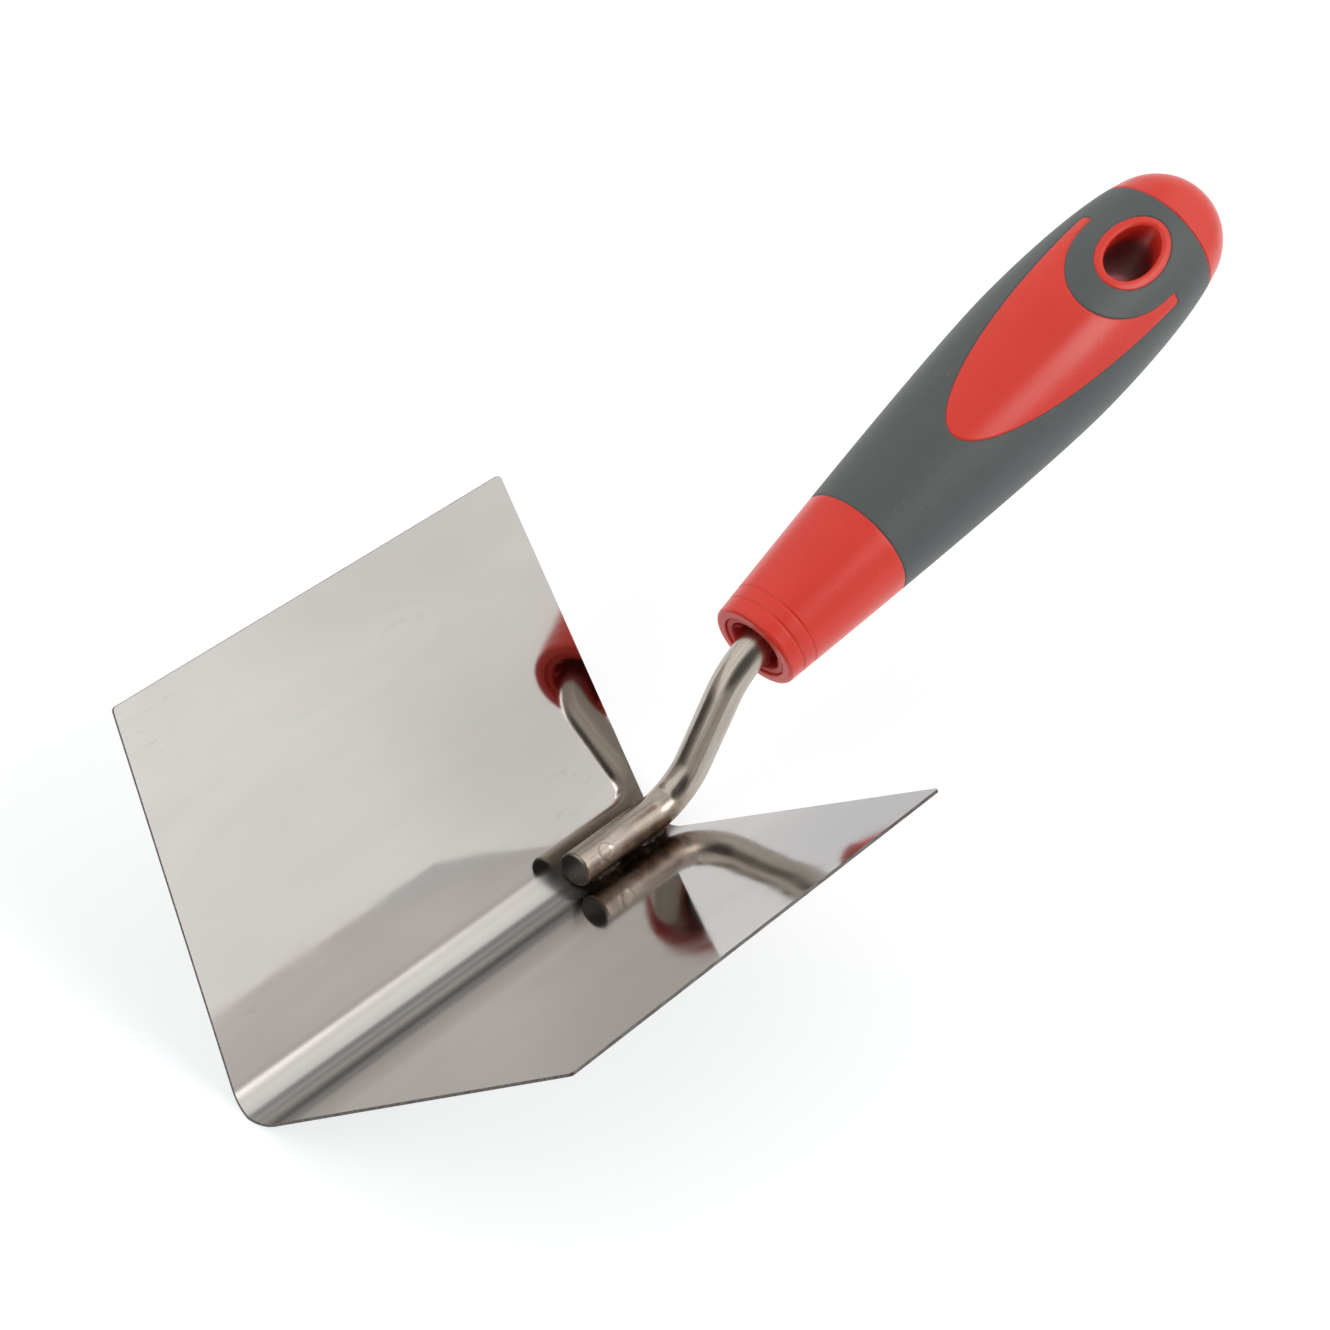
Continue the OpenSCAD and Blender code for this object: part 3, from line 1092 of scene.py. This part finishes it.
def wing_steel(n, x):
    """Clouded and wiped steel, with painted light brightening it towards the front and painted shade
    darkening it beside the rod and at the left rear tip.
    """
    cloud = n.ramp(n.noise(13, 2, 0.5), 0.3, 0.7)
    wiped = n.ramp(n.noise(1, 3, 0.6, n.moved((14, 60, 26), (0.5, 0.2, 0.4)), warp=0.6), 0.3, 0.7)
    bright = n.raised(n.times(cloud, 0.35), wiped, 0.35)
    # Painted light: the wing colour grows brighter towards the front.
    bright = n.math("ADD", bright, n.ramp(x, -60 * MM, 55 * MM, 0.0, 0.3))
    steel = n.mix(bright, colour(0.425, 0.407, 0.393), colour(0.525, 0.504, 0.488))
    # Painted shade beside the rod and at the left rear tip, darkening the steel's colour.
    steel = n.tinted(steel, n.spot(*PAINTED_SHADE_BY_ROD), 0.35, colour(0.33, 0.315, 0.30))
    return n.tinted(steel, n.spot(*PAINTED_SHADE_REAR_TIP), 0.7, colour(0.32, 0.32, 0.325))


def polished_sheet():
    """The blade's faces: near mirror, tinted by the welds' heat under the rod, duller round the bend and
    darkened by painted shade in the crease and a strip beside it.
    """
    n = Nodes(bpy.data.materials.new("polished_sheet"))
    x, y, _ = n.axes()
    aside = n.math("ABSOLUTE", y)
    scuff = scuffs(n)
    heated = n.times(n.within(aside, 2.5, 8), n.within(x, -32, -24))
    tint = n.mix(n.ramp(n.noise(260, 3, 0.6), 0.4, 0.65), colour(0.24, 0.18, 0.13), colour(0.10, 0.08, 0.065))
    steel = n.tinted(wing_steel(n, x), scuff, 0.28, colour(0.20, 0.195, 0.185))
    steel = n.tinted(steel, heated, 0.6, tint)
    # Painted shade: the crease and a strip beside it are darkened in the base colour.
    steel = n.tinted(steel, n.band(y, *CREASE), 0.55, colour(0.20, 0.19, 0.18))
    steel = n.tinted(steel, n.band(y, *PAINTED_SHADE_STRIP), 0.5, colour(0.33, 0.315, 0.30))
    rough = n.ramp(n.noise(30, 4, 0.6, warp=1.0), 0.35, 0.7, 0.05, 0.10)
    rough = n.raised(rough, scuff, 0.06)
    rough = n.raised(rough, heated, 0.10)
    rough = n.raised(rough, n.within(aside, 3.6, 5.6), 0.15)
    n.shade("Base Color", steel)
    n.shade("Metallic", 1.0)
    n.shade("Roughness", rough)
    n.bump(n.noise(26, 1, 0.4), 1.0, 0.22)
    n.bump(n.noise(75, 2, 0.5), 1.0, 0.015)
    return n.owner


def cut_edge():
    """The blade's cut edge, darker and finely streaked along it."""
    n = Nodes(bpy.data.materials.new("cut_edge"))
    grain = n.noise(1, 3, 0.6, n.moved((300, 2500, 2500)))
    steel = n.mix(n.ramp(grain, 0.35, 0.65), colour(0.16, 0.15, 0.14), colour(0.09, 0.085, 0.08))
    n.shade("Base Color", steel)
    n.shade("Metallic", 1.0)
    n.shade("Roughness", n.ramp(grain, 0.3, 0.7, 0.4, 0.55))
    return n.owner


def heat_patch(n, axes, blotch):
    """How far the rod is burnt: most low on the left of its foot, and in blotches."""
    x, y, z = axes
    low = n.ramp(n.math("SUBTRACT", z, n.times(y, 0.8)), 0.5 * MM, 7.5 * MM, 1, 0.2)
    heat = n.times(low, n.ramp(x, -62 * MM, -55 * MM, 0, 1))
    return n.times(heat, n.ramp(blotch, 0.34, 0.56, 0.45, 1))


def tang_steel():
    """Drawn rod, with heat tint on its foot, the electrode mark's dark rim and a darker cut end."""
    n = Nodes(bpy.data.materials.new("tang_steel"))
    along = n.add("ShaderNodeTexCoord").outputs["UV"]
    drawn = n.noise(1, 4, 0.6, n.moved((0.07, 1.6, 1), source=along))
    lines = n.noise(1, 3, 0.6, n.moved((0.16, 5.5, 1), source=along))
    blotch = n.noise(170, 4, 0.6)
    axes = n.axes()
    patch = heat_patch(n, axes, blotch)
    rim = n.math("SUBTRACT", n.spot(MARK_AT, 1.75, 2.0), n.spot(MARK_AT, 1.4, 1.6))
    end = n.ramp(axes[0], (TIP_X - 0.35) * MM, (TIP_X - 0.1) * MM)
    scale = n.ramp(n.noise(380, 3, 0.6), 0.4, 0.6)
    burnt = n.mix(scale, colour(0.30, 0.185, 0.115), colour(0.11, 0.072, 0.052))
    steel = n.mix(n.ramp(drawn, 0.35, 0.65), colour(0.50, 0.455, 0.40), colour(0.41, 0.37, 0.32))
    steel = n.tinted(steel, patch, 0.95, burnt)
    steel = n.tinted(steel, rim, 0.35, colour(0.10, 0.065, 0.045))
    steel = n.tinted(steel, end, 0.85, colour(0.10, 0.10, 0.10))
    rough = n.raised(n.ramp(blotch, 0.3, 0.7, 0.19, 0.26), patch, 0.12)
    n.shade("Base Color", steel)
    n.shade("Metallic", 1.0)
    n.shade("Roughness", n.raised(rough, end, 0.12))
    n.bump(lines, 0.35, 0.02)
    return n.owner


def weld_metal():
    """Oxidised weld metal, in small blotches."""
    n = Nodes(bpy.data.materials.new("weld_metal"))
    blotch = n.noise(500, 4, 0.6)
    metal = n.mix(n.ramp(blotch, 0.35, 0.65), colour(0.16, 0.125, 0.10), colour(0.06, 0.048, 0.04))
    n.shade("Base Color", metal)
    n.shade("Metallic", 0.9)
    n.shade("Roughness", n.ramp(blotch, 0.3, 0.7, 0.35, 0.55))
    n.bump(blotch, 0.3, 0.06)
    return n.owner


def moulded(name, light, dark, rough_low, rough_high):
    """Semi-gloss moulded plastic, faintly clouded, with painted shade darkening the wall of the hang hole,
    which is also rougher there.
    """
    n = Nodes(bpy.data.materials.new(name))
    hole_shade = n.spot(on_handle(0, 0, HOLE_AT), 9.0, 12.6)
    plastic = n.mix(n.ramp(n.noise(38, 3, 0.55), 0.3, 0.7), light, dark)
    rough = n.ramp(n.noise(55, 2, 0.5), 0.2, 0.8, rough_low, rough_high)
    # Painted shade inside the hang hole: the red darkens towards the hole's middle.
    n.shade("Base Color", n.tinted(plastic, hole_shade, 0.85, colour(0.16, 0.006, 0.005)))
    n.shade("Roughness", n.raised(rough, hole_shade, 0.35))
    n.shade("Specular IOR Level", 0.36)
    return n.owner


def grey_rubber():
    """Satin soft plastic, faintly clouded, with specks of dust in patches."""
    n = Nodes(bpy.data.materials.new("grey_rubber"))
    cloud = n.noise(45, 4, 0.6)
    base = n.mix(n.ramp(cloud, 0.3, 0.7), colour(0.068, 0.077, 0.078), colour(0.085, 0.094, 0.095))
    dust = n.add("ShaderNodeTexVoronoi", feature="F1")
    n.link(n.place, dust.inputs["Vector"])
    dust.inputs["Scale"].default_value = 480
    dusty = n.ramp(n.noise(120, 2), 0.52, 0.66)
    speck = n.times(n.ramp(dust.outputs["Distance"], 0.05, 0.13, 1, 0), dusty)
    n.shade("Base Color", n.tinted(base, speck, 0.45, colour(0.24, 0.25, 0.25)))
    n.shade("Roughness", n.ramp(cloud, 0.3, 0.7, 0.44, 0.55))
    n.shade("Specular IOR Level", 0.45)
    n.bump(n.noise(1300, 3, 0.6), 0.2, 0.02)
    return n.owner


def pale_floor():
    """A white lit table, so that the object throws only a faint shadow on it."""
    n = Nodes(bpy.data.materials.new("pale_floor"))
    away = n.add("ShaderNodeVectorMath", operation="LENGTH")
    n.link(n.place, away.inputs[0])
    n.shade("Base Color", n.mix(n.noise(1.5, 2), colour(0.44, 0.44, 0.44), colour(0.46, 0.46, 0.46)))
    n.shade("Roughness", 0.9)
    n.shade("Specular IOR Level", 0.0)
    n.shade("Emission Color", colour(0.96, 0.985, 1.0))
    n.shade("Emission Strength", n.ramp(away.outputs["Value"], 0.25, 1.4, 0.64, 0.25))
    return n.owner


# ---- studio

# The camera, in metres
CAMERA_AT = Vector((0.35281, 0.24825, 0.47998))
LOOK_ALONG = Vector((-0.623411, -0.389863, -0.677766))
CAMERA_ROLL = math.radians(12.95)
LENS = 95.61
SENSOR = 36
CLIP_START = 0.01
FLOOR_SIZE = 12

# The room's light: its even part, then softboxes and dark corners as (direction, inner and outer degrees,
# amount)
ROOM = 0.78
SOFTBOXES = ((toward(108, 43), 5, 19, 4.4), (toward(126, 28), 8, 32, 0.52), (toward(148, 48), 6, 24, 0.20),
             (toward(178, 54), 8, 30, 0.50), (toward(-40, 25), 25, 65, 0.45))
DARK_CORNERS = ((toward(50, 27), 24, 47, 0.86), (toward(-146, 40), 5, 15, 0.3))


def add_camera():
    """The camera, rolled about the way it looks."""
    view = LOOK_ALONG.normalized()
    level = view.cross(Vector((0, 0, 1))).normalized()
    rise = level.cross(view)
    right = math.cos(CAMERA_ROLL) * level + math.sin(CAMERA_ROLL) * rise
    up = right.cross(view)
    data = bpy.data.cameras.new("camera")
    data.lens = LENS
    data.sensor_width = SENSOR
    data.clip_start = CLIP_START
    camera = bpy.data.objects.new("camera", data)
    turn = Matrix((right, up, -view)).transposed().to_4x4()
    camera.matrix_world = Matrix.Translation(CAMERA_AT) @ turn
    bpy.context.scene.collection.objects.link(camera)
    bpy.context.scene.camera = camera


def add_world():
    """The room's light, by the direction it comes from."""
    world = bpy.data.worlds.new("studio")
    bpy.context.scene.world = world
    n = Nodes(world, "Generated")
    light = ROOM
    for direction, inner, outer, amount in SOFTBOXES:
        light = n.raised(light, n.glow(direction, inner, outer), amount)
    for direction, inner, outer, amount in DARK_CORNERS:
        dark = n.times(n.glow(direction, inner, outer), amount)
        light = n.times(light, n.math("SUBTRACT", 1.0, dark))
    n.shade("Strength", light)
    n.shade("Color", colour(1.0, 0.99, 0.975))


def add_floor():
    """The table, at the height of the CAD box's lower face."""
    place = (0, 0, cad_bounds[0][2])
    bpy.ops.mesh.primitive_grid_add(x_subdivisions=8, y_subdivisions=8, size=FLOOR_SIZE, location=place)
    floor = bpy.context.object
    floor.name = "floor"
    floor.data.materials.append(pale_floor())


weld = weld_metal()
# The core's red is the shell's red darkened, as painted shade inside the recessed mouth.
core_plastic = moulded("core_plastic", colour(0.60, 0.028, 0.017), colour(0.52, 0.022, 0.014), 0.38, 0.48)
red_plastic = moulded("red_plastic", colour(0.71, 0.041, 0.024), colour(0.655, 0.036, 0.021), 0.24, 0.32)

build_blade(polished_sheet(), cut_edge())
build_tang(tang_steel())
build_weld("weld_front_bead", TIP_X - WELD_INSET, weld, 1.0)
build_weld("weld_rear_bead", -RIDGE_LEN / 2 + WELD_LEN / 2 + WELD_REAR_GAP, weld, 5.0)
build_core(core_plastic)
build_grip_and_shell(grey_rubber(), red_plastic)
add_camera()
add_world()
add_floor()
bpy.context.scene.view_settings.view_transform = "Standard"
